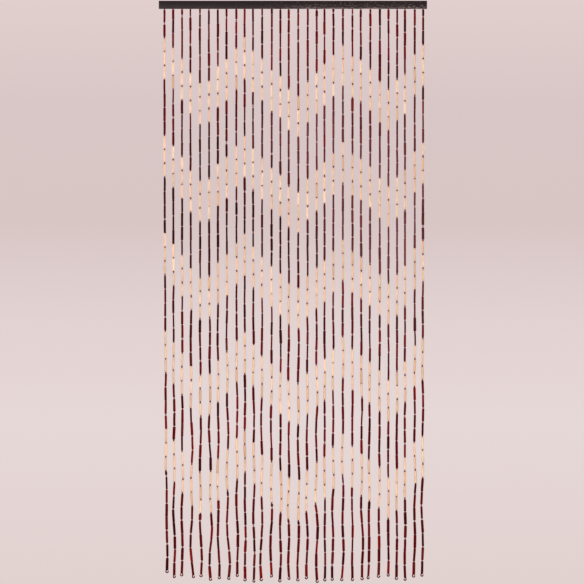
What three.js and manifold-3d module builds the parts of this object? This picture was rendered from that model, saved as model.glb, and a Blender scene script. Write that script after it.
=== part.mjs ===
// A bamboo door curtain: a dark wooden head rail, and thirty strands of bamboo tubes that
// hang from its underside and end in open wire loops.
// Millimetres, +Z up, the front faces -Y. The origin is the centre of the rail's flat back.

import * as THREE from 'three';
import { mergeVertices } from 'three/addons/utils/BufferGeometryUtils.js';
import Module from 'manifold-3d';

const wasm = await Module();
wasm.setup();

// Head rail, a batten with its long edges eased and a groove in its underside
const RAIL_WIDTH = 900;
const RAIL_DEPTH = 12;
const RAIL_HEIGHT = 27;
const RAIL_EASE = 1;
const GROOVE_LENGTH = 884;
const GROOVE_WIDTH = 4;
const GROOVE_HEIGHT = 4.6;

// Hanging strip, in the groove, which carries every strand on a thin neck
const CLEARANCE = 0.3;
const STRIP_HEIGHT = 3.4;
const NECK_SIZE = 2.4;
const NECK_DROP = 3;

// Strands: tubes linked end to end, with bands of pale ones between dark ones
const STRAND_SIZE = 6.5;
const PALE_RUN = 3;
const DARK_RUN = 4;
const PALE_BANDS = 5;
const TAIL_PITCH = 45.4;
const TAIL_ROUNDING = 0.2;
const SHORTEST_TUBE = 10;

// How far the links swing sideways, which is next to nothing near the rail, in two beats that
// each strand starts elsewhere; the stretch above the kinks has a ring at every third link
const SWAY = 2.6;
const SWAY_STARTS = 700;
const QUICK_BEAT = 1.3;
const SLOW_BEAT = 0.55;
const SLOW_SHARE = 0.6;
const STRAND_PHASE = 1.9;
const KINKS_START = 1100;
const STRAIGHT_LINKS = 3;

// End loops, bent from the strand's own wire
const LOOP_SIZE = 10;
const LOOP_WIRE = 1.8;
const LOOP_SWEEP = THREE.MathUtils.degToRad(290);
const LOOP_TURN = THREE.MathUtils.degToRad(35);
const LOOP_PHASE = 1.7;
const LOOP_STEPS = 8;

const UNDERSIDE = -RAIL_HEIGHT / 2;
const HANG_Y = -RAIL_DEPTH / 2;
const STRIP_MIDDLE = UNDERSIDE + GROOVE_HEIGHT - CLEARANCE - STRIP_HEIGHT / 2;

// One row for each strand, from left to right. place is its distance from the rail's centre
// line, fall the depth below the rail where its first pale tube starts, pitch the spacing of
// its links, end the depth of its loop's lowest point, drift how far its end hangs sideways,
// sway how much its lower links wander, and opens the side on which its loop is open.
const STRANDS = [
  { place: -431, fall: 96, pitch: 46.9, end: 1894, drift: 9, sway: 0.5, opens: 1 },
  { place: -402, fall: 129, pitch: 47.1, end: 1911, drift: 5, sway: 1, opens: 1 },
  { place: -372, fall: 165, pitch: 47.1, end: 1905, drift: 1, sway: 1, opens: -1 },
  { place: -344, fall: 214, pitch: 46.9, end: 1911, drift: 6, sway: 1.5, opens: 1 },
  { place: -312, fall: 249, pitch: 46.6, end: 1908, drift: 3, sway: 1, opens: -1 },
  { place: -282, fall: 241, pitch: 46.8, end: 1920, drift: 7, sway: 1.5, opens: 1 },
  { place: -252, fall: 190, pitch: 47.1, end: 1915, drift: 2, sway: 1, opens: -1 },
  { place: -223, fall: 169, pitch: 46.7, end: 1917, drift: 6, sway: 1.5, opens: 1 },
  { place: -190, fall: 132, pitch: 46.7, end: 1907, drift: 4, sway: 1, opens: 1 },
  { place: -162, fall: 95, pitch: 47.1, end: 1922, drift: 2, sway: 0.5, opens: -1 },
  { place: -134, fall: 139, pitch: 47, end: 1926, drift: 5, sway: 1, opens: 1 },
  { place: -103, fall: 166, pitch: 47.5, end: 1921, drift: -3, sway: 1, opens: 1 },
  { place: -71, fall: 205, pitch: 46.9, end: 1909, drift: -2, sway: 1, opens: -1 },
  { place: -42, fall: 225, pitch: 47.3, end: 1925, drift: 1, sway: 1, opens: 1 },
  { place: -14, fall: 268, pitch: 46.6, end: 1917, drift: 0, sway: 1, opens: -1 },
  { place: 18, fall: 292, pitch: 46, end: 1922, drift: 1, sway: 1, opens: 1 },
  { place: 50, fall: 243, pitch: 46.6, end: 1915, drift: -4, sway: 1, opens: -1 },
  { place: 80, fall: 213, pitch: 46.7, end: 1927, drift: -1, sway: 1.5, opens: 1 },
  { place: 106, fall: 184, pitch: 47.1, end: 1922, drift: 1, sway: 0.5, opens: 1 },
  { place: 136, fall: 154, pitch: 47, end: 1920, drift: -2, sway: 1, opens: -1 },
  { place: 168, fall: 121, pitch: 46.6, end: 1921, drift: -1, sway: 1, opens: 1 },
  { place: 200, fall: 159, pitch: 46.7, end: 1921, drift: -1, sway: 0.5, opens: 1 },
  { place: 228, fall: 171, pitch: 47.2, end: 1918, drift: 5, sway: 1, opens: -1 },
  { place: 260, fall: 201, pitch: 46.8, end: 1915, drift: -6, sway: 0.5, opens: 1 },
  { place: 292, fall: 243, pitch: 46.2, end: 1910, drift: -3, sway: 0.5, opens: 1 },
  { place: 321, fall: 269, pitch: 46.5, end: 1906, drift: -1, sway: 0.5, opens: -1 },
  { place: 350, fall: 236, pitch: 46.7, end: 1917, drift: -2, sway: 0.5, opens: 1 },
  { place: 376, fall: 217, pitch: 46, end: 1920, drift: 0, sway: 0.5, opens: -1 },
  { place: 409, fall: 152, pitch: 46.5, end: 1909, drift: 0, sway: 1, opens: 1 },
  { place: 437, fall: 120, pitch: 46.9, end: 1906, drift: -3, sway: 1, opens: 1 },
];

function material(color, roughness) {
  return new THREE.MeshStandardMaterial({ color, roughness, metalness: 0 });
}

function named(name, geometry, look) {
  const mesh = new THREE.Mesh(geometry, look);
  mesh.name = name;
  return mesh;
}

function solidOf(geometry) {
  const bare = geometry.clone();
  bare.deleteAttribute('normal');
  bare.deleteAttribute('uv');
  const merged = mergeVertices(bare, 1e-4);
  return new wasm.Manifold(new wasm.Mesh({
    numProp: 3,
    vertProperties: new Float32Array(merged.attributes.position.array),
    triVerts: new Uint32Array(merged.index.array),
  }));
}

function geometryOf(solid) {
  const mesh = solid.getMesh();
  const geometry = new THREE.BufferGeometry();
  geometry.setAttribute('position', new THREE.BufferAttribute(mesh.vertProperties, 3));
  geometry.setIndex(new THREE.BufferAttribute(mesh.triVerts, 1));
  geometry.computeVertexNormals();
  return geometry;
}

function box(width, depth, height, x, y, z) {
  return new THREE.BoxGeometry(width, depth, height).translate(x, y, z);
}

function square(size) {
  const half = size / 2;
  return new THREE.Shape([
    new THREE.Vector2(-half, -half),
    new THREE.Vector2(half, -half),
    new THREE.Vector2(half, half),
    new THREE.Vector2(-half, half),
  ]);
}

// A straight-sided run through a list of stations, with a ring at each of them
class StationPath extends THREE.Curve {
  constructor(stations) {
    super();
    this.stations = stations;
  }

  getPoint(t, target = new THREE.Vector3()) {
    const along = t * (this.stations.length - 1);
    const before = Math.min(Math.floor(along), this.stations.length - 2);
    const share = along - before;
    return target.lerpVectors(this.stations[before], this.stations[before + 1], share);
  }

  getTangent(t, target = new THREE.Vector3()) {
    const along = Math.round(t * (this.stations.length - 1));
    const last = this.stations.length - 1;
    const from = this.stations[Math.max(along - 1, 0)];
    const to = this.stations[Math.min(along + 1, last)];
    return target.subVectors(to, from).normalize();
  }

  getUtoTmapping(u) {
    return u;
  }

  tube(size) {
    return new THREE.ExtrudeGeometry(square(size), {
      steps: this.stations.length - 1,
      extrudePath: this,
    });
  }
}

// The depths below the rail at which a strand's tubes are linked, from its neck to its end
function linkDepths(strand) {
  const depths = [NECK_DROP];
  const leadTubes = Math.floor((strand.fall - NECK_DROP) / strand.pitch);
  const patternTubes = PALE_BANDS * (PALE_RUN + DARK_RUN) - DARK_RUN;
  const first = strand.fall - leadTubes * strand.pitch;
  for (let tube = 0; tube <= leadTubes + patternTubes; tube += 1) {
    const depth = first + tube * strand.pitch;
    if (depth > NECK_DROP + SHORTEST_TUBE) {
      depths.push(depth);
    }
  }

  const tailStart = depths[depths.length - 1];
  const tailEnd = strand.end - LOOP_SIZE + LOOP_WIRE;
  const tail = tailEnd - tailStart;
  const tailTubes = Math.floor(tail / TAIL_PITCH + TAIL_ROUNDING);
  const remainder = tail - tailTubes * TAIL_PITCH;
  const short = remainder > SHORTEST_TUBE ? remainder : 0;
  if (short > 0) {
    depths.push(tailStart + short);
  }
  const pitch = (tail - short) / tailTubes;
  for (let tube = 1; tube <= tailTubes; tube += 1) {
    depths.push(tailStart + short + tube * pitch);
  }
  return depths;
}

// How far one link of a strand hangs to the side of the strand's place on the rail
function sideways(strand, number, link, depth) {
  const share = depth / strand.end;
  const ramp = Math.max(0, (depth - SWAY_STARTS) / (strand.end - SWAY_STARTS));
  const phase = STRAND_PHASE * number ** 2;
  const quick = Math.sin(QUICK_BEAT * link + phase);
  const slow = SLOW_SHARE * Math.sin(SLOW_BEAT * link + 2 * phase);
  return strand.drift * share ** 2 + SWAY * strand.sway * ramp * (quick + slow);
}

function strandStations(strand, number) {
  const depths = linkDepths(strand);
  const stations = [];
  depths.forEach((depth, link) => {
    const isEnd = link === 0 || link === depths.length - 1;
    if (isEnd || depth > KINKS_START || link % STRAIGHT_LINKS === 0) {
      const x = strand.place + sideways(strand, number, link, depth);
      stations.push(new THREE.Vector3(x, HANG_Y, UNDERSIDE - depth));
    }
  });
  return stations;
}

// The open loop at a strand's end, which leaves the last tube and bends round under it
function endLoop(strand, number, top) {
  const radius = (LOOP_SIZE - LOOP_WIRE) / 2;
  const turn = LOOP_TURN * Math.sin(LOOP_PHASE * number);
  const centre = new THREE.Vector3(top.x, top.y, UNDERSIDE - strand.end + LOOP_SIZE / 2);
  const stations = [];
  for (let step = 0; step <= LOOP_STEPS; step += 1) {
    const angle = Math.PI / 2 + LOOP_SWEEP * step / LOOP_STEPS;
    const across = strand.opens * radius * Math.cos(angle);
    stations.push(new THREE.Vector3(
      centre.x + across * Math.cos(turn),
      centre.y + across * Math.sin(turn),
      centre.z + radius * Math.sin(angle),
    ));
  }
  return new StationPath(stations).tube(LOOP_WIRE);
}

function strandSolids(strand, number) {
  const stations = strandStations(strand, number);
  const neckHeight = STRIP_MIDDLE - (UNDERSIDE - NECK_DROP) + NECK_SIZE / 2;
  const neckMiddle = STRIP_MIDDLE - neckHeight / 2;
  return [
    box(NECK_SIZE, NECK_SIZE, neckHeight, strand.place, HANG_Y, neckMiddle),
    new StationPath(stations).tube(STRAND_SIZE),
    endLoop(strand, number, stations[stations.length - 1]),
  ].map(solidOf);
}

function headRail() {
  const back = 0;
  const front = -RAIL_DEPTH;
  const half = RAIL_HEIGHT / 2;
  const section = new THREE.Shape([
    new THREE.Vector2(back - RAIL_EASE, -half),
    new THREE.Vector2(back, -half + RAIL_EASE),
    new THREE.Vector2(back, half - RAIL_EASE),
    new THREE.Vector2(back - RAIL_EASE, half),
    new THREE.Vector2(front + RAIL_EASE, half),
    new THREE.Vector2(front, half - RAIL_EASE),
    new THREE.Vector2(front, -half + RAIL_EASE),
    new THREE.Vector2(front + RAIL_EASE, -half),
  ]);
  const batten = new THREE.ExtrudeGeometry(section, { depth: RAIL_WIDTH, bevelEnabled: false });
  batten.applyMatrix4(new THREE.Matrix4().makeBasis(
    new THREE.Vector3(0, 1, 0),
    new THREE.Vector3(0, 0, 1),
    new THREE.Vector3(1, 0, 0),
  ));
  batten.translate(-RAIL_WIDTH / 2, 0, 0);
  const groove = box(GROOVE_LENGTH, GROOVE_WIDTH, 2 * GROOVE_HEIGHT, 0, HANG_Y, UNDERSIDE);
  return geometryOf(solidOf(batten).subtract(solidOf(groove)));
}

function strandCurtain() {
  const stripLength = GROOVE_LENGTH - 2 * CLEARANCE;
  const stripDepth = GROOVE_WIDTH - 2 * CLEARANCE;
  const strip = solidOf(box(stripLength, stripDepth, STRIP_HEIGHT, 0, HANG_Y, STRIP_MIDDLE));
  const strands = STRANDS.flatMap(strandSolids);
  return geometryOf(wasm.Manifold.union([strip, ...strands]));
}

const curtain = new THREE.Group();
curtain.add(
  named('head_rail', headRail(), material(0x33292a, 0.55)),
  named('strands', strandCurtain(), material(0x5a2422, 0.4)),
);

export default curtain;
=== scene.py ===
"""A bamboo door curtain: thirty strands of bamboo tubes, linked by wire eyes, under a wooden rail.

Metres, +Z up, the front faces -Y. The rail and the strands' centre lines are where the CAD
solids have them."""

import collections
import math
import random

import bmesh
import bpy
import numpy as np
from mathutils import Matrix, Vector


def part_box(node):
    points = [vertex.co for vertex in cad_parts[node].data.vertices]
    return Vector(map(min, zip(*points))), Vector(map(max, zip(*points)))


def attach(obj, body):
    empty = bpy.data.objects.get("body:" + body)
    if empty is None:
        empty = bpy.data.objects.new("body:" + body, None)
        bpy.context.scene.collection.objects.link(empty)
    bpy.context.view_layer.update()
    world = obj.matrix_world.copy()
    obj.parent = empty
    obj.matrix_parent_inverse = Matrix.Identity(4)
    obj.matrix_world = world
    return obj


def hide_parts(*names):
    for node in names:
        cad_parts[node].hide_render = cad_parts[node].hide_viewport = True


MM = 0.001
RNG = random.Random(30)

# Strands, in millimetres, measured in the photograph and rounded. place is the distance from
# the rail's centre line, fall the depth below the rail where the first pale tube starts, pitch
# the spacing of the links, end the depth of the loop's lowest point, drift how far the end
# hangs sideways, sway how much the lower links wander, opens the side on which the loop is
# open, and top the gap that shows between the rail and the first tube.
Strand = collections.namedtuple("Strand", "place fall pitch end drift sway opens top")
STRANDS = [
    Strand(-431, 96, 46.9, 1894, 9, 0.5, 1, 4),
    Strand(-402, 129, 47.1, 1911, 5, 1, 1, 2.5),
    Strand(-372, 165, 47.1, 1905, 1, 1, -1, 3),
    Strand(-344, 214, 46.9, 1911, 6, 1.5, 1, 1),
    Strand(-312, 249, 46.6, 1908, 3, 1, -1, 1),
    Strand(-282, 241, 46.8, 1920, 7, 1.5, 1, 7),
    Strand(-252, 190, 47.1, 1915, 2, 1, -1, 3),
    Strand(-223, 169, 46.7, 1917, 6, 1.5, 1, 1),
    Strand(-190, 132, 46.7, 1907, 4, 1, 1, 2.5),
    Strand(-162, 95, 47.1, 1922, 2, 0.5, -1, 1.5),
    Strand(-134, 139, 47, 1926, 5, 1, 1, 1.5),
    Strand(-103, 166, 47.5, 1921, -3, 1, 1, 1),
    Strand(-71, 205, 46.9, 1909, -2, 1, -1, 1),
    Strand(-42, 225, 47.3, 1925, 1, 1, 1, 4),
    Strand(-14, 268, 46.6, 1917, 0, 1, -1, 3.5),
    Strand(18, 292, 46, 1922, 1, 1, 1, 1),
    Strand(50, 243, 46.6, 1915, -4, 1, -1, 1),
    Strand(80, 213, 46.7, 1927, -1, 1.5, 1, 5.5),
    Strand(106, 184, 47.1, 1922, 1, 0.5, 1, 3),
    Strand(136, 154, 47, 1920, -2, 1, -1, 1),
    Strand(168, 121, 46.6, 1921, -1, 1, 1, 1),
    Strand(200, 159, 46.7, 1921, -1, 0.5, 1, 6),
    Strand(228, 171, 47.2, 1918, 5, 1, -1, 4),
    Strand(260, 201, 46.8, 1915, -6, 0.5, 1, 3),
    Strand(292, 243, 46.2, 1910, -3, 0.5, 1, 1),
    Strand(321, 269, 46.5, 1906, -1, 0.5, -1, 3),
    Strand(350, 236, 46.7, 1917, -2, 0.5, 1, 5),
    Strand(376, 217, 46, 1920, 0, 0.5, -1, 5),
    Strand(409, 152, 46.5, 1909, 0, 1, 1, 3),
    Strand(437, 120, 46.9, 1906, -3, 1, 1, 2),
]

# Pattern and sway, as the solids have them
NECK_DROP = 3
PALE_RUN = 3
DARK_RUN = 4
PALE_BANDS = 5
TAIL_PITCH = 45.4
TAIL_ROUNDING = 0.2
SHORTEST_TUBE = 10
SWAY = 2.6
SWAY_STARTS = 700
QUICK_BEAT = 1.3
SLOW_BEAT = 0.55
SLOW_SHARE = 0.6
STRAND_PHASE = 1.9
TAIL_CLEARANCE = 8.2
LOOP_TURN = math.radians(35)
LOOP_PHASE = 1.7

# End loops, in millimetres, larger and thicker than in the solids. The wire starts in the bore,
# LOOP_SHANK above the last link.
LOOP_SIZE = 12
LOOP_WIRE = 4
LOOP_ANGLES = (math.radians(140), math.radians(380))
LOOP_STEPS = 18
LOOP_SIDES = 8
LOOP_SHANK = 8

# Tubes, in millimetres. A dark one's radius has two gains down the strand, the second of them
# mostly near its end. The bore widens to its mouth between MOUTH_DEPTHS.
SHORTEST_TOP_TUBE = 9
TUBE_SIDES = 12
PALE_RADIUS, PALE_RADIUS_SPREAD = 4.1, 0.25
DARK_RADIUS, DARK_RADIUS_SPREAD = 3.6, 0.42
DARK_RADIUS_GAIN, DARK_RADIUS_END_GAIN = 0.15, 0.7
THINNEST_DARK, THICKEST_DARK = 2.8, 4.9
BORE_RADIUS = 1.8
THINNEST_WALL = 1
MOUTH_EASE, MOUTH_WALL = 0.6, 0.5
MOUTH_DEPTHS = (0.15, 1.6)

# How much tubes vary: shares of the radius, or of the length for the bow, and the slant of the
# ends in millimetres. The slant, and WORN_END of the cut rims' colour, fade over END_REACH.
TAPER = 0.05
BOW = 0.009
OVAL = 0.05
SWELL = 0.025
END_SLANT = 0.25
END_REACH = 2.5
CUT_REACH = 0.1
WORN_END = 0.35

# How far links and tube ends stray from the strand's line, in millimetres
LINK_JOG = 0.35
TOP_LEAN, LEAN_GAIN = 0.2, 0.2

# Gaps and link wire, in millimetres. At pale tubes the wire is thicker and the gaps are wider.
TOP_GAP = 4.2
LINK_GAP, GAP_SPREAD = 3.9, 2.1
PALE_GAP, PALE_GAP_SPREAD = 5.3, 1.5
SMALLEST_GAP = 0.8
CLOSED_SHARE = 0.05
END_CLEARANCE = 1.8
LINK_WIRE = (1.4, 2.1)
PALE_WIRE = (2.3, 2.8)
CAP_REACH, CAP_SHARE = 0.45, 0.55
EYE_RADIUS = 2.1
EYE_START = math.radians(12)
EYE_SWEEP = math.radians(325)
EYE_STEPS = 10
EYE_SIDES = 6
EYE_TURN, EYE_TURN_SPREAD = math.pi / 4, 0.12
SHANK_REACHES = (4, 1.6, 0.5)

# Head rail and the lath in its groove, in metres. END_EASE is the inset at distances from its
# ends. Past its ends the groove is as good as closed. The long edges are worn more and more
# between WORN_HEIGHTS, which are heights from the middle.
RAIL_EASE = 0.001
EASE_STEPS = 3
END_EASE = ((0, 0.0007), (0.0003, 0.0003), (0.001, 0))
GROOVE_LENGTH = 0.884
GROOVE_WIDTH = 0.004
GROOVE_HEIGHT = 0.0046
GROOVE_LIP = 0.0003
GROOVE_CLOSED = GROOVE_LIP * 0.1
RAIL_STEPS = 150
WORN_HEIGHTS = (0.0115, 0.0135)
WORN_SHARE = 0.03
CLEARANCE = 0.0003
LATH_HEIGHT = 0.0034
LATH_EASE = 0.0003

# Camera and backdrop, in metres
SENSOR = 36
VIEW_DISTANCE = 12
VIEW_WIDTH = 1.961
VIEW_CENTRE = -0.003
VIEW_HEIGHT = -0.9637
FLOOR_HEIGHT = -2.02
FLOOR_CORNERS = ((-1.5, -1.7), (1.5, 0.6))

# The looks that a strand's faces are numbered by
DARK, PALE, WIRE = range(3)

# Edges sharper than this aren't shaded smooth, and a wire that starts along Y is nudged off it
SHARP_ANGLE = math.radians(50)
NUDGE = (1e-6, 0, 1e-6)


def srgb(red, green, blue):
    """A display colour, 0 to 255, as linear light."""
    def linear(value):
        value /= 255
        return value / 12.92 if value <= 0.04045 else ((value + 0.055) / 1.055) ** 2.4

    return (linear(red), linear(green), linear(blue))


def mixed(first, second, share):
    """A colour that lies a share of the way from one to another."""
    return tuple(a + (b - a) * share for a, b in zip(first, second))


def link_depths(strand):
    """The depths below the rail at which a strand's tubes are linked, and the looks of the tubes."""
    lead = math.floor((strand.fall - NECK_DROP) / strand.pitch)
    pattern = PALE_BANDS * (PALE_RUN + DARK_RUN) - DARK_RUN
    first = strand.fall - lead * strand.pitch
    depths, looks = [NECK_DROP], []
    for tube in range(lead + pattern + 1):
        depth = first + tube * strand.pitch
        if depth > NECK_DROP + SHORTEST_TOP_TUBE:
            step = (tube - 1 - lead) % (PALE_RUN + DARK_RUN)
            depths.append(depth)
            looks.append(PALE if tube > lead and step < PALE_RUN else DARK)

    tail = strand.end - TAIL_CLEARANCE - depths[-1]
    whole = math.floor(tail / TAIL_PITCH + TAIL_ROUNDING)
    short = tail - whole * TAIL_PITCH
    if short > SHORTEST_TUBE:
        depths.append(depths[-1] + short)
        looks.append(DARK)
        tail -= short
    start = depths[-1]
    depths += [start + tail * tube / whole for tube in range(1, whole + 1)]
    looks += [DARK] * whole
    return depths, looks


def sideways(strand, number, link, depth):
    """How far one link hangs to the side of the strand's place on the rail, as the solids have it."""
    ramp = max(0, (depth - SWAY_STARTS) / (strand.end - SWAY_STARTS))
    phase = STRAND_PHASE * number**2
    swing = math.sin(QUICK_BEAT * link + phase)
    swing += SLOW_SHARE * math.sin(SLOW_BEAT * link + 2 * phase)
    return strand.drift * (depth / strand.end) ** 2 + SWAY * strand.sway * ramp * swing


class Surface:
    """Gathers the parts of one mesh: points and faces, with each part's look, tone and seed."""

    def __init__(self):
        self.points, self.faces, self.looks = [], [], []
        self.tones, self.seeds, self.rims = [], [], []
        self.count = 0

    def add(self, points, faces, look, tone=(1, 1, 1), seed=0.0, rims=None):
        """Adds points, and faces that number them from 0. rims is each point's share of cut rim."""
        self.points.append(points)
        self.faces += (np.asarray(faces) + self.count).tolist()
        self.looks += [look] * len(faces)
        self.tones.append(np.tile((*tone, 1.0), (len(points), 1)))
        self.seeds.append(np.full(len(points), seed))
        self.rims.append(np.zeros(len(points)) if rims is None else rims)
        self.count += len(points)

    def make(self, name, materials):
        """A smooth shaded object of all that was added."""
        mesh = bpy.data.meshes.new(name)
        mesh.from_pydata((np.concatenate(self.points) * MM).tolist(), [], self.faces)
        mesh.polygons.foreach_set("material_index", self.looks)
        for material in materials:
            mesh.materials.append(material)
        tone = mesh.attributes.new("tone", "FLOAT_COLOR", "POINT")
        tone.data.foreach_set("color", np.concatenate(self.tones).ravel())
        seed = mesh.attributes.new("seed", "FLOAT", "POINT")
        seed.data.foreach_set("value", np.concatenate(self.seeds))
        rim = mesh.attributes.new("rim", "FLOAT", "POINT")
        rim.data.foreach_set("value", np.concatenate(self.rims))
        mesh.shade_smooth()
        mesh.set_sharp_from_angle(angle=SHARP_ANGLE)
        mesh.update()
        made = bpy.data.objects.new(name, mesh)
        bpy.context.scene.collection.objects.link(made)
        return made


def ring_faces(rings, sides, closed):
    """Quads between rings of points, and from the last ring to the first if closed."""
    numbers = np.arange(rings * sides).reshape(rings, sides)
    if closed:
        numbers = np.concatenate([numbers, numbers[:1]])
    after = np.roll(numbers, -1, axis=1)
    quads = np.stack([numbers[:-1], after[:-1], after[1:], numbers[1:]], axis=-1)
    return quads.reshape(-1, 4)


def unit(vector):
    """The vector at a length of 1."""
    return vector / np.linalg.norm(vector)


def axes_across(direction):
    """Two unit vectors square to a direction and to each other."""
    first = unit(np.cross(direction, (0.0, 1.0, 0.0)))
    return first, np.cross(direction, first)


def swept(path, radius, sides):
    """Rings of points along a path, turning as little as they can from one to the next."""
    path = np.array(path, float)
    directions = np.gradient(path, axis=0)
    directions /= np.linalg.norm(directions, axis=1)[:, None]
    across, _ = axes_across(directions[0] + NUDGE)
    angles = np.arange(sides) * 2 * math.pi / sides
    rings = []
    for point, direction in zip(path, directions):
        across = unit(across - direction * (across @ direction))
        other = np.cross(direction, across)
        circle = np.outer(np.cos(angles), across) + np.outer(np.sin(angles), other)
        rings.append(point + radius * circle)
    return np.array(rings)


def add_wire(surface, path, radius, sides, tone):
    """A wire along a path, with rounded ends. Its first end is hidden, and its cap faces inwards."""
    path = np.array(path, float)
    rings = swept(path, radius, sides)
    for end, inner in ((0, 1), (-1, -2)):
        out = unit(path[end] - path[inner])
        cap = path[end] + out * radius * CAP_REACH + (rings[end] - path[end]) * CAP_SHARE
        rings = np.concatenate([[cap], rings] if end == 0 else [rings, [cap]])
    points = rings.reshape(-1, 3)
    faces = ring_faces(len(rings), sides, closed=False)
    surface.add(points, faces, WIRE, tone)
    fan = [[side, (side + 1) % sides, sides] for side in range(sides)]
    for ring in (rings[0], rings[-1]):
        surface.add(np.concatenate([ring, [ring.mean(0)]]), fan, WIRE, tone)


# A tube's rings: distances from its ends with what comes off the radius there, then shares of
# its length
END_RINGS = ((0.0, 0.62), (0.25, 0.2), (0.8, 0.0))
MIDDLE_RINGS = (0.17, 0.33, 0.5, 0.67, 0.83)


def add_tube(surface, top, bottom, radius, look, tone, seed):
    """One bamboo tube from its top end to its bottom one, with softened rims and an open bore."""
    top, bottom = np.array(top, float), np.array(bottom, float)
    length = np.linalg.norm(bottom - top)
    along = unit(bottom - top)
    across, other = axes_across(along)
    taper = RNG.uniform(-TAPER, TAPER)
    bow = RNG.uniform(0, BOW) * length
    bow_angle = RNG.uniform(0, 2 * math.pi)
    oval, oval_angle = RNG.uniform(0, OVAL), RNG.uniform(0, math.pi)
    bore = min(BORE_RADIUS, radius - THINNEST_WALL)
    slants = [RNG.uniform(-END_SLANT, END_SLANT) for _ in range(2)]

    outer = [(distance, radius - cut) for distance, cut in END_RINGS]
    for share in MIDDLE_RINGS:
        swell = 1 + RNG.uniform(-SWELL, SWELL)
        outer.append((share * length, radius * swell))
    outer += [(length - distance, radius - cut) for distance, cut in reversed(END_RINGS)]
    mouth = min(bore + MOUTH_EASE, radius - MOUTH_WALL)
    lip, deep = MOUTH_DEPTHS
    inner = [(length - lip, mouth), (length - deep, bore), (deep, bore), (lip, mouth)]

    angles = np.arange(TUBE_SIDES) * 2 * math.pi / TUBE_SIDES
    rings, rims = [], []
    for number, (distance, ring_radius) in enumerate(outer + inner):
        share = distance / length
        centre = top + along * distance
        centre = centre + bow * math.sin(math.pi * share) * (
            math.cos(bow_angle) * across + math.sin(bow_angle) * other
        )
        shape = 1 + oval * np.cos(2 * (angles - oval_angle))
        if number < len(outer):
            shape = shape * (1 + taper * (share - 0.5))
        reach = ring_radius * shape
        ring = centre + np.outer(reach * np.cos(angles), across)
        ring = ring + np.outer(reach * np.sin(angles), other)
        slant = slants[0] if share < 0.5 else slants[1]
        near_end = max(0.0, 1 - min(distance, length - distance) / END_REACH)
        ring = ring + np.outer(near_end * slant * np.cos(angles), along)
        rings.append(ring)
        is_cut = number >= len(outer) or min(distance, length - distance) < CUT_REACH
        rims.append(np.full(TUBE_SIDES, 1.0 if is_cut else WORN_END * near_end))
    faces = ring_faces(len(rings), TUBE_SIDES, closed=True)[:, ::-1]
    surface.add(
        np.array(rings).reshape(-1, 3), faces, look, tone, seed, np.concatenate(rims)
    )


def eye_path(centre, towards, plane):
    """A wire's eye: out of the bore, then once round the centre. towards points into the bore."""
    side = unit(plane - towards * (plane @ towards))
    path = [centre + towards * (EYE_RADIUS + reach) for reach in SHANK_REACHES]
    for step in range(EYE_STEPS + 1):
        angle = EYE_START + EYE_SWEEP * step / EYE_STEPS
        path.append(centre + EYE_RADIUS * (math.cos(angle) * towards + math.sin(angle) * side))
    return path


def add_link(surface, point, above, below, wire, tone):
    """Two eyes hooked together at a link, one of the tube above it and one of the tube below."""
    turn = RNG.gauss(EYE_TURN, EYE_TURN_SPREAD)
    for towards, angle in ((above, turn), (below, turn + math.pi / 2)):
        plane = np.array((math.cos(angle), math.sin(angle), 0.0))
        centre = point + towards * (EYE_RADIUS - wire / 2)
        add_wire(surface, eye_path(centre, towards, plane), wire / 2, EYE_SIDES, tone)


def link_gaps(looks):
    """The gaps between the tubes at a strand's links: at the top, then under each tube."""
    gaps = [TOP_GAP]
    for pair in zip(looks, looks[1:]):
        middle, spread = (PALE_GAP, PALE_GAP_SPREAD) if PALE in pair else (LINK_GAP, GAP_SPREAD)
        is_closed = RNG.random() < CLOSED_SHARE
        gaps.append(SMALLEST_GAP if is_closed else max(SMALLEST_GAP, RNG.gauss(middle, spread)))
    return [*gaps, 2 * END_CLEARANCE]


def add_end_loop(surface, strand, number, top, hangs_from):
    """The open loop under the last tube: down out of the bore, to one side, then round."""
    radius = (LOOP_SIZE - LOOP_WIRE) / 2
    turn = LOOP_TURN * math.sin(LOOP_PHASE * number)
    side = np.array((math.cos(turn), math.sin(turn), 0.0)) * strand.opens
    up = np.array((0.0, 0.0, 1.0))
    centre = np.array((top[0], top[1], UNDERSIDE / MM - strand.end + LOOP_SIZE / 2))
    path = [hangs_from + (top - hangs_from) * share for share in (0.0, 0.5)]
    for angle in np.linspace(*LOOP_ANGLES, LOOP_STEPS + 1):
        path.append(centre + radius * (math.cos(angle) * side + math.sin(angle) * up))
    add_wire(surface, path, LOOP_WIRE / 2, LOOP_SIDES, LOOP_TONE)


# The backdrop from below to above: shares of the view's height, and the photograph's shades
BACKDROP = (
    (0.0, srgb(225, 210, 208)), (0.28, srgb(230, 216, 215)), (0.45, srgb(226, 211, 210)),
    (0.62, srgb(216, 198, 197)), (0.82, srgb(217, 199, 199)), (1.0, srgb(225, 207, 206)),
)
ROOM_LIGHT = (0.32, 0.235, 0.225)

# Stain colours of the dark tubes and colours of the pale ones, and how often each is met
DARK_TONES = (
    (srgb(112, 6, 6), 7),
    (srgb(92, 3, 4), 5),
    (srgb(128, 8, 7), 4),
    (srgb(69, 2, 4), 3),
    (srgb(146, 14, 9), 1),
    (srgb(122, 29, 23), 1),
)
PALE_TONES = (
    (srgb(247, 211, 183), 6),
    (srgb(241, 204, 174), 6),
    (srgb(251, 220, 192), 4),
    (srgb(229, 188, 153), 2),
)
# Wire tones: between dark tubes, at pale ones, and of the end loops
LINK_TONE, PALE_LINK_TONE, LOOP_TONE = srgb(168, 13, 6), srgb(130, 18, 2), srgb(120, 4, 4)

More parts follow.
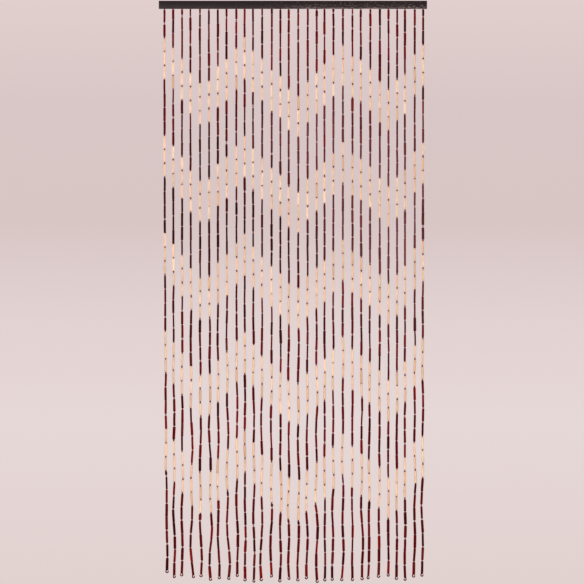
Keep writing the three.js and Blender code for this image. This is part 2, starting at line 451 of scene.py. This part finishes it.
# Where painted glare, a painted reflection of a lamp, greys the dark tubes and where painted shade
# darkens them: centres and reaches, across and up
PAINTED_GLARE = srgb(132, 80, 82)
PAINTED_GLARE_PATCHES = (((340, -700), (360, 470)), ((70, -440), (230, 180)))
PAINTED_SHADE_PATCHES = (((-280, -700), (420, 560)), ((-20, -790), (260, 230)))
PAINTED_SHADE_STRENGTH, DEEPEST_PAINTED_SHADE = 0.95, 0.3
PAINTED_GLARE_STRENGTH, STRONGEST_PAINTED_GLARE = 1.1, 0.9
LIGHT_RANGE, GREEN_RANGE, PAINTED_GLARE_RANGE = (0.88, 1.06), (0.97, 1.03), (0.55, 1.0)

# Tubes that stand out: the strand, a depth that the tube spans, half its width and its tone
BRIGHT, DEEP, BROWN, MAUVE = srgb(142, 13, 9), srgb(62, 2, 5), srgb(108, 34, 24), srgb(98, 46, 49)
NOTED = (
    (1, 1390, 3.9, BRIGHT), (1, 1862, 4.8, DEEP), (2, 1434, 4.8, DARK_TONES[0][0]),
    (2, 1744, 4.6, DEEP), (2, 1835, 4.0, BRIGHT), (3, 1410, 4.3, BROWN), (4, 1182, 4.6, BROWN),
    (4, 1459, 3.8, BRIGHT), (4, 1503, 3.8, BRIGHT), (5, 1538, 4.6, DEEP), (6, 1541, 4.6, DEEP),
    (6, 1758, 3.9, BRIGHT), (7, 1492, 3.8, BRIGHT), (8, 1148, 3.8, BROWN), (8, 1885, 4.6, BROWN),
    (9, 1323, 3.7, BRIGHT), (9, 1370, 3.7, BRIGHT), (9, 1417, 3.8, BRIGHT), (10, 1246, 4.5, DEEP),
    (10, 1890, 4.7, BRIGHT), (12, 1890, 4.7, BRIGHT), (14, 150, 3.5, BRIGHT),
    (15, 1419, 3.7, BRIGHT), (15, 1563, 4.6, DEEP), (19, 440, 3.6, BRIGHT), (25, 1880, 4.6, BROWN),
    (30, 640, 4.2, MAUVE), (30, 685, 4.7, MAUVE), (30, 732, 4.6, MAUVE),
)


def nearness(place, z, patches):
    """1 at the centre of a patch, falling to 0 at its reach."""
    return max(
        max(0, 1 - math.hypot((place - x) / across, (z - height) / up))
        for (x, height), (across, up) in patches
    )


def tube_tone(look, place, z):
    """A tube's own colour, and on the dark ones painted shade in some patches and a painted glare in
    others.
    """
    tones = DARK_TONES if look == DARK else PALE_TONES
    tone = RNG.choices([t for t, _ in tones], [weight for _, weight in tones])[0]
    light = RNG.uniform(*LIGHT_RANGE)
    if look == DARK:
        # Painted shade: the dark tubes are made darker in these patches
        light *= max(1 - PAINTED_SHADE_STRENGTH * nearness(place, z, PAINTED_SHADE_PATCHES), DEEPEST_PAINTED_SHADE)
    tone = (tone[0] * light, tone[1] * light * RNG.uniform(*GREEN_RANGE), tone[2] * light)
    if look == PALE:
        return tone
    # Painted glare: a painted reflection of a lamp, mixing the tone towards a greyish mauve in
    # patches
    painted_glare = PAINTED_GLARE_STRENGTH * nearness(place, z, PAINTED_GLARE_PATCHES) * RNG.uniform(*PAINTED_GLARE_RANGE)
    return mixed(tone, PAINTED_GLARE, min(painted_glare, STRONGEST_PAINTED_GLARE))


def tube_radius(look, share):
    """Half a tube's width. The dark ones are a little thicker towards the floor."""
    if look == PALE:
        return RNG.gauss(PALE_RADIUS, PALE_RADIUS_SPREAD)
    middle = DARK_RADIUS + DARK_RADIUS_GAIN * share + DARK_RADIUS_END_GAIN * share**4
    return min(max(RNG.gauss(middle, DARK_RADIUS_SPREAD), THINNEST_DARK), THICKEST_DARK)


def make_strand(strand, number, materials):
    """One strand: its tubes, the wire eyes between them, its top eye and its end loop."""
    surface = Surface()
    underside = UNDERSIDE / MM
    depths, looks = link_depths(strand)
    points = []
    for link, depth in enumerate(depths):
        x = strand.place + sideways(strand, number, link, depth)
        jog = LINK_JOG if 0 < link < len(depths) - 1 else 0
        place = (x + RNG.uniform(-jog, jog), HANG_Y / MM + RNG.uniform(-jog, jog))
        points.append(np.array((*place, underside - depth)))
    points[0][2] = underside - strand.top + TOP_GAP / 2

    directions = [unit(low - high) for high, low in zip(points, points[1:])]
    for link, point in enumerate(points[:-1]):
        above = -directions[link - 1] if link else np.array((0.0, 0.0, 1.0))
        is_pale = PALE in (looks[max(0, link - 1)], looks[link])
        wire = RNG.uniform(*(PALE_WIRE if is_pale else LINK_WIRE))
        wire_tone = PALE_LINK_TONE if is_pale else LINK_TONE
        add_link(surface, point, above, directions[link], wire, wire_tone)
    gaps = link_gaps(looks)
    noted = [row[1:] for row in NOTED if row[0] == number + 1]

    for tube, look in enumerate(looks):
        high, low, along = points[tube], points[tube + 1], directions[tube]
        share = depths[tube] / strand.end
        start = high + along * gaps[tube] / 2
        finish = low - along * gaps[tube + 1] / 2
        lean = TOP_LEAN + LEAN_GAIN * share
        start = start + (RNG.uniform(-lean, lean), RNG.uniform(-lean, lean), 0)
        finish = finish + (RNG.uniform(-lean, lean), RNG.uniform(-lean, lean), 0)
        radius = tube_radius(look, share)
        tone = tube_tone(look, strand.place, (high[2] + low[2]) / 2)
        for depth, noted_radius, noted_tone in noted:
            if depths[tube] < depth < depths[tube + 1]:
                radius, tone = noted_radius, noted_tone
        add_tube(surface, start, finish, radius, look, tone, RNG.random())

    hangs_from = points[-1] - directions[-1] * LOOP_SHANK
    add_end_loop(surface, strand, number, points[-1], hangs_from)
    piece = surface.make(f"strand_{number + 1:02d}", materials)
    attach(piece, "root")
    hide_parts("strands")
    return piece


def nodes_of(material):
    """A material's node tree with its shader, and a way to add nodes and links to it."""
    material.use_nodes = True
    tree = material.node_tree
    tree.nodes.clear()
    output = tree.nodes.new("ShaderNodeOutputMaterial")
    shader = tree.nodes.new("ShaderNodeBsdfPrincipled")
    tree.links.new(shader.outputs["BSDF"], output.inputs["Surface"])
    return tree, shader


def feed(tree, socket, value):
    """Links a socket's input, or sets it where the value is a plain one."""
    if isinstance(value, bpy.types.NodeSocket):
        tree.links.new(value, socket)
    else:
        socket.default_value = value


def attribute(tree, name, output):
    """What the mesh holds under a name."""
    node = tree.nodes.new("ShaderNodeAttribute")
    node.attribute_name = name
    return node.outputs[output]


def place_of(tree, scale, seed=None):
    """Object coordinates with a scale for each axis, moved by a seed so that like pieces differ."""
    coordinates = tree.nodes.new("ShaderNodeTexCoord")
    mapping = tree.nodes.new("ShaderNodeMapping")
    mapping.inputs["Scale"].default_value = scale
    tree.links.new(coordinates.outputs["Object"], mapping.inputs["Vector"])
    if seed is None:
        return mapping.outputs["Vector"]
    shift = tree.nodes.new("ShaderNodeVectorMath")
    shift.operation = "MULTIPLY_ADD"
    shift.inputs[1].default_value = (37, 53, 71)
    tree.links.new(seed, shift.inputs[0])
    tree.links.new(mapping.outputs["Vector"], shift.inputs[2])
    return shift.outputs["Vector"]


def noise(tree, vector, scale, detail=3.0, roughness=0.5):
    """Cloudy noise, mostly between 0.3 and 0.7."""
    node = tree.nodes.new("ShaderNodeTexNoise")
    node.inputs["Scale"].default_value = scale
    node.inputs["Detail"].default_value = detail
    node.inputs["Roughness"].default_value = roughness
    tree.links.new(vector, node.inputs["Vector"])
    return node.outputs["Fac"]


def ranged(tree, value, low, high, to_low, to_high):
    """A value with the range low to high moved to another range, and held within it."""
    node = tree.nodes.new("ShaderNodeMapRange")
    for name, number in (
        ("From Min", low), ("From Max", high), ("To Min", to_low), ("To Max", to_high)
    ):
        node.inputs[name].default_value = number
    tree.links.new(value, node.inputs["Value"])
    return node.outputs["Result"]


def blended(tree, share, first, second, kind="MIX"):
    """Two colours blended by a share."""
    node = tree.nodes.new("ShaderNodeMix")
    node.data_type = "RGBA"
    node.blend_type = kind
    feed(tree, node.inputs[0], share)
    for socket, value in ((node.inputs[6], first), (node.inputs[7], second)):
        feed(tree, socket, (*value, 1) if isinstance(value, tuple) else value)
    return node.outputs[2]


def calculated(tree, operation, first, second):
    """The result of a sum on two values."""
    node = tree.nodes.new("ShaderNodeMath")
    node.operation = operation
    feed(tree, node.inputs[0], first)
    feed(tree, node.inputs[1], second)
    return node.outputs[0]


def bumped(tree, shader, height, distance, strength):
    """Raises a shader's surface by a height, in metres at its full value."""
    node = tree.nodes.new("ShaderNodeBump")
    node.inputs["Distance"].default_value = distance
    node.inputs["Strength"].default_value = strength
    tree.links.new(height, node.inputs["Height"])
    tree.links.new(node.outputs["Normal"], shader.inputs["Normal"])


def bamboo(name, patch_tone, cut_tone, sheen_tone, sheen, roughness, specular, fibre_low):
    """Bamboo skin: fine fibres along the tube, a second tone in patches, and cut rims in a third."""
    material = bpy.data.materials.new(name)
    tree, shader = nodes_of(material)
    seed = attribute(tree, "seed", "Fac")
    fibres = noise(tree, place_of(tree, (1, 1, 0.035), seed), 1500, 4, 0.6)
    streaks = noise(tree, place_of(tree, (1, 1, 0.12), seed), 420, 3)
    patches = noise(tree, place_of(tree, (1, 1, 0.5), seed), 70, 2)

    lines = noise(tree, place_of(tree, (1, 1, 0.02), seed), 3600, 2)
    shade = calculated(
        tree, "MULTIPLY",
        ranged(tree, fibres, 0.32, 0.68, fibre_low, 1.1),
        ranged(tree, streaks, 0.32, 0.68, 0.84, 1.12),
    )
    shade = calculated(tree, "MULTIPLY", shade, ranged(tree, lines, 0.3, 0.45, fibre_low, 1.04))
    tone = attribute(tree, "tone", "Color")
    stained = blended(tree, ranged(tree, patches, 0.5, 0.75, 0, 0.55), tone, patch_tone)
    grey = tree.nodes.new("ShaderNodeCombineColor")
    for channel in grey.inputs[:3]:
        tree.links.new(shade, channel)
    shaded = blended(tree, 1.0, stained, grey.outputs[0], "MULTIPLY")
    rim = attribute(tree, "rim", "Fac")
    feed(tree, shader.inputs["Base Color"], blended(tree, rim, shaded, cut_tone))

    shader.inputs["Specular IOR Level"].default_value = specular
    shader.inputs["Sheen Weight"].default_value = sheen
    shader.inputs["Sheen Roughness"].default_value = 0.4
    shader.inputs["Sheen Tint"].default_value = (*sheen_tone, 1)
    worn = ranged(tree, streaks, 0.3, 0.7, roughness - 0.08, roughness + 0.12)
    tree.links.new(worn, shader.inputs["Roughness"])
    bumped(tree, shader, fibres, 0.00025, 0.6)
    return material


def wire_material():
    """Lacquered iron wire, with rust in patches."""
    material = bpy.data.materials.new("wire")
    tree, shader = nodes_of(material)
    patches = noise(tree, place_of(tree, (1, 1, 1)), 600, 4, 0.6)
    rust = ranged(tree, patches, 0.42, 0.62, 0, 1)
    tone = attribute(tree, "tone", "Color")
    rusted = blended(tree, 1.0, tone, (0.34, 0.45, 0.5), "MULTIPLY")
    feed(tree, shader.inputs["Base Color"], blended(tree, rust, tone, rusted))
    tree.links.new(ranged(tree, rust, 0, 1, 0.3, 0.65), shader.inputs["Roughness"])
    shader.inputs["Metallic"].default_value = 0.1
    shader.inputs["Specular IOR Level"].default_value = 0.15
    bumped(tree, shader, patches, 0.0001, 0.4)
    return material


def rail_material():
    """Dark stained wood, grained along the rail, and scratched low down, more so to the right."""
    material = bpy.data.materials.new("rail_wood")
    tree, shader = nodes_of(material)
    grain = noise(tree, place_of(tree, (0.03, 1, 1)), 900, 5, 0.65)
    figure = noise(tree, place_of(tree, (0.08, 1, 1)), 160, 3)
    scratches = noise(tree, place_of(tree, (0.08, 1, 1)), 1050, 4, 0.6)
    specks = noise(tree, place_of(tree, (0.4, 1, 1)), 640, 3)
    dark = blended(tree, ranged(tree, grain, 0.35, 0.7, 0, 1), srgb(27, 18, 20), srgb(43, 31, 33))
    dark = blended(tree, ranged(tree, figure, 0.4, 0.7, 0, 0.5), dark, srgb(28, 18, 20))

    place = tree.nodes.new("ShaderNodeSeparateXYZ")
    coordinates = tree.nodes.new("ShaderNodeTexCoord")
    tree.links.new(coordinates.outputs["Object"], place.inputs[0])
    lowness = ranged(tree, place.outputs["Z"], 0.004, UNDERSIDE, 0, 1)
    edge = ranged(tree, place.outputs["Z"], UNDERSIDE + 0.004, UNDERSIDE + 0.0005, 0, 1)
    to_right = ranged(tree, place.outputs["X"], -0.12, 0.08, 0.12, 1)
    dark = blended(tree, calculated(tree, "MULTIPLY", lowness, 0.5), dark, srgb(60, 48, 49))

    scratched = calculated(tree, "MULTIPLY", lowness, ranged(tree, scratches, 0.57, 0.66, 0, 1))
    worn = calculated(tree, "MULTIPLY", edge, ranged(tree, figure, 0.45, 0.62, 0.05, 0.6))
    wear = calculated(tree, "MAXIMUM", scratched, worn)
    wear = calculated(tree, "MAXIMUM", wear, ranged(tree, specks, 0.66, 0.72, 0, 0.8))
    wear = calculated(tree, "MULTIPLY", wear, to_right)
    feed(tree, shader.inputs["Base Color"], blended(tree, wear, dark, srgb(190, 174, 170)))
    shader.inputs["Specular IOR Level"].default_value = 0.2
    tree.links.new(ranged(tree, grain, 0.3, 0.7, 0.42, 0.6), shader.inputs["Roughness"])
    bumped(tree, shader, grain, 0.0002, 0.5)
    return material


def rail_section(low, high, inset, groove_height):
    """The rail's outline in depth and height, from the groove round the front to the groove."""
    ease = RAIL_EASE
    corners = ((low.y, low.z), (low.y, high.z), (high.y, high.z), (high.y, low.z))
    middle, half = (low.y + high.y) / 2, GROOVE_WIDTH / 2
    outline = [(middle - half, low.z)]
    for corner, (y, z) in enumerate(corners):
        centre_y = y + ease if y == low.y else y - ease
        centre_z = z + ease if z == low.z else z - ease
        first = -math.pi / 2 - corner * math.pi / 2
        for step in range(EASE_STEPS + 1):
            angle = first - math.pi / 2 * step / EASE_STEPS
            reach = ease - inset
            outline.append((centre_y + reach * math.cos(angle), centre_z + reach * math.sin(angle)))
    outline.append((middle + half, low.z))
    outline += [(middle + half, low.z + groove_height), (middle - half, low.z + groove_height)]
    return outline


def make_rail(material):
    """The head rail: a batten with eased, slightly uneven edges, and a groove under it."""
    low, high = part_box("head_rail")
    groove_end = GROOVE_LENGTH / 2
    stations = [(low.x + reach, inset) for reach, inset in END_EASE]
    stations += [(high.x - reach, inset) for reach, inset in END_EASE]
    stations += [(side * (groove_end + reach), 0) for side in (-1, 1) for reach in (0, GROOVE_LIP)]
    inner = groove_end - 2 * GROOVE_LIP
    stations += [(x, 0) for x in np.linspace(-inner, inner, RAIL_STEPS + 1)]
    stations.sort()

    rings = []
    for x, inset in stations:
        deep = GROOVE_HEIGHT if abs(x) <= groove_end else GROOVE_CLOSED
        ring = [(x, y, z) for y, z in rail_section(low, high, inset, deep)]
        rings.append(ring)
    points = np.array(rings)
    middle = (np.array(low) + np.array(high)) / 2
    wear = np.interp(np.abs(points[:, :, 2] - middle[2]), WORN_HEIGHTS, (0, 1))
    uneven = np.array([RNG.uniform(0, 1) for _ in stations])
    for _ in range(2):
        uneven = np.convolve(np.pad(uneven, 1, mode="edge"), (0.25, 0.5, 0.25), mode="valid")
    outwards = points[:, :, 1] - middle[1]
    is_outer = np.abs(outwards) > GROOVE_WIDTH
    points[:, :, 1] -= np.where(is_outer, outwards * WORN_SHARE * wear * uneven[:, None], 0)

    sides = points.shape[1]
    faces = ring_faces(len(stations), sides, closed=False).tolist()
    last = (len(stations) - 1) * sides
    faces += [list(range(sides))[::-1], [last + side for side in range(sides)]]
    surface = Surface()
    surface.add(points.reshape(-1, 3) / MM, faces[:-2], 0)
    surface.faces += faces[-2:]
    surface.looks += [0, 0]
    piece = surface.make("rail", [material])
    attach(piece, "root")
    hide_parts("head_rail")


def make_lath(material):
    """The thin lath in the rail's groove, which the top eyes are fixed in."""
    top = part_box("strands")[1].z
    rail_low, rail_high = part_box("head_rail")
    half = (GROOVE_LENGTH / 2 - CLEARANCE, GROOVE_WIDTH / 2 - CLEARANCE)
    middle = (rail_low.y + rail_high.y) / 2
    lath = bmesh.new()
    bmesh.ops.create_cube(lath, size=1)
    for corner in lath.verts:
        corner.co.x *= 2 * half[0]
        corner.co.y = middle + corner.co.y * 2 * half[1]
        corner.co.z = top + (corner.co.z - 0.5) * LATH_HEIGHT
    bmesh.ops.bevel(lath, geom=lath.edges[:], offset=LATH_EASE, segments=2, affect="EDGES")
    mesh = bpy.data.meshes.new("lath")
    lath.to_mesh(mesh)
    lath.free()
    mesh.materials.append(material)
    piece = bpy.data.objects.new("lath", mesh)
    bpy.context.scene.collection.objects.link(piece)
    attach(piece, "root")
    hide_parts("strands")


def add_light(name, place, target, size, power, colour):
    """A soft panel of light, which isn't seen itself."""
    light = bpy.data.lights.new(name, "AREA")
    light.shape = "RECTANGLE"
    light.size, light.size_y = size
    light.energy = power
    light.color = colour
    lamp = bpy.data.objects.new(name, light)
    lamp.location = place
    lamp.rotation_euler = (Vector(target) - Vector(place)).to_track_quat("-Z", "Y").to_euler()
    lamp.visible_camera = False
    bpy.context.scene.collection.objects.link(lamp)


def backdrop():
    """A plain backdrop that shades gently with height, and an even room light."""
    world = bpy.data.worlds.new("backdrop")
    world.use_nodes = True
    tree = world.node_tree
    seen = tree.nodes["Background"]
    coordinates = tree.nodes.new("ShaderNodeTexCoord")
    direction = tree.nodes.new("ShaderNodeSeparateXYZ")
    tree.links.new(coordinates.outputs["Generated"], direction.inputs[0])
    slope = VIEW_WIDTH / 2 / VIEW_DISTANCE
    ramp = tree.nodes.new("ShaderNodeValToRGB")
    tree.links.new(
        ranged(tree, direction.outputs["Z"], -slope, slope, 0, 1), ramp.inputs["Fac"]
    )
    stops = ramp.color_ramp.elements
    for _ in range(len(BACKDROP) - len(stops)):
        stops.new(0.5)
    for stop, (share, colour) in zip(stops, BACKDROP):
        stop.position = share
        stop.color = (*colour, 1)
    tree.links.new(ramp.outputs["Color"], seen.inputs["Color"])

    room = tree.nodes.new("ShaderNodeBackground")
    room.inputs["Color"].default_value = (*ROOM_LIGHT, 1)
    path = tree.nodes.new("ShaderNodeLightPath")
    chosen = tree.nodes.new("ShaderNodeMixShader")
    tree.links.new(path.outputs["Is Camera Ray"], chosen.inputs[0])
    tree.links.new(room.outputs[0], chosen.inputs[1])
    tree.links.new(seen.outputs[0], chosen.inputs[2])
    tree.links.new(chosen.outputs[0], tree.nodes["World Output"].inputs["Surface"])
    return world


def add_floor():
    """A pale floor under the curtain, below the camera's view."""
    material = bpy.data.materials.new("floor")
    tree, shader = nodes_of(material)
    patches = noise(tree, place_of(tree, (1, 1, 1)), 6, 3)
    light, dark = srgb(226, 216, 212), srgb(218, 207, 203)
    feed(tree, shader.inputs["Base Color"], blended(tree, patches, light, dark))
    shader.inputs["Roughness"].default_value = 0.85
    (x0, y0), (x1, y1) = FLOOR_CORNERS
    mesh = bpy.data.meshes.new("floor")
    corners = [(x, y, FLOOR_HEIGHT) for x, y in ((x0, y0), (x1, y0), (x1, y1), (x0, y1))]
    mesh.from_pydata(corners, [], [(0, 1, 2, 3)])
    mesh.materials.append(material)
    floor = bpy.data.objects.new("floor", mesh)
    bpy.context.scene.collection.objects.link(floor)


def set_stage():
    """The plain backdrop, the lights, and the camera, far off and level with the curtain's middle."""
    scene = bpy.context.scene
    scene.view_settings.view_transform = "Standard"
    scene.view_settings.look = "None"
    scene.world = backdrop()
    add_floor()

    aim = (0, 0, VIEW_HEIGHT)
    add_light("key", (-1.6, -2.6, -0.5), aim, (0.9, 1.8), 45, (0.97, 1, 0.99))
    add_light("fill", (2.0, -2.6, -1.1), aim, (0.9, 2.2), 36, (0.97, 1, 0.99))
    add_light("back_left", (-2.0, 2.4, -0.2), aim, (0.9, 1.8), 36, (1, 1, 1))
    add_light("back_right", (2.0, 2.4, -0.2), aim, (0.9, 1.8), 36, (1, 1, 1))
    add_light("overhead", (0, -0.6, 2.2), (0, -0.4, FLOOR_HEIGHT), (2.4, 1.6), 34, (1, 1, 1))

    camera = bpy.data.cameras.new("camera")
    camera.sensor_width = SENSOR
    camera.lens = SENSOR * VIEW_DISTANCE / VIEW_WIDTH
    eye = bpy.data.objects.new("camera", camera)
    eye.location = (VIEW_CENTRE, -VIEW_DISTANCE, VIEW_HEIGHT)
    eye.rotation_euler = (math.pi / 2, 0, 0)
    scene.collection.objects.link(eye)
    scene.camera = eye


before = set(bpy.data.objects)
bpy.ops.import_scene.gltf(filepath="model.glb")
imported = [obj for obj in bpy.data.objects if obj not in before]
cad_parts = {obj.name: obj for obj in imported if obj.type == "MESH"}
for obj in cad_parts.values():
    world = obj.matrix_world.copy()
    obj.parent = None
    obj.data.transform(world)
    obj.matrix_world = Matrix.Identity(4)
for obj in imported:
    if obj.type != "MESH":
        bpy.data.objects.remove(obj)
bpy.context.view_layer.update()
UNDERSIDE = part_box("head_rail")[0].z
HANG_Y = (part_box("head_rail")[0].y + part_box("head_rail")[1].y) / 2

wood = rail_material()
strand_materials = [
    bamboo(
        "dark_bamboo",
        patch_tone=srgb(60, 3, 6),
        cut_tone=srgb(40, 5, 6),
        sheen_tone=srgb(255, 40, 30),
        sheen=0.6,
        roughness=0.34,
        specular=0.05,
        fibre_low=0.5,
    ),
    bamboo(
        "pale_bamboo",
        patch_tone=srgb(231, 190, 154),
        cut_tone=srgb(196, 150, 112),
        sheen_tone=srgb(240, 214, 190),
        sheen=0.05,
        roughness=0.45,
        specular=0.4,
        fibre_low=0.88,
    ),
    wire_material(),
]
make_rail(wood)
make_lath(wood)
for index, row in enumerate(STRANDS):
    make_strand(row, index, strand_materials)
set_stage()
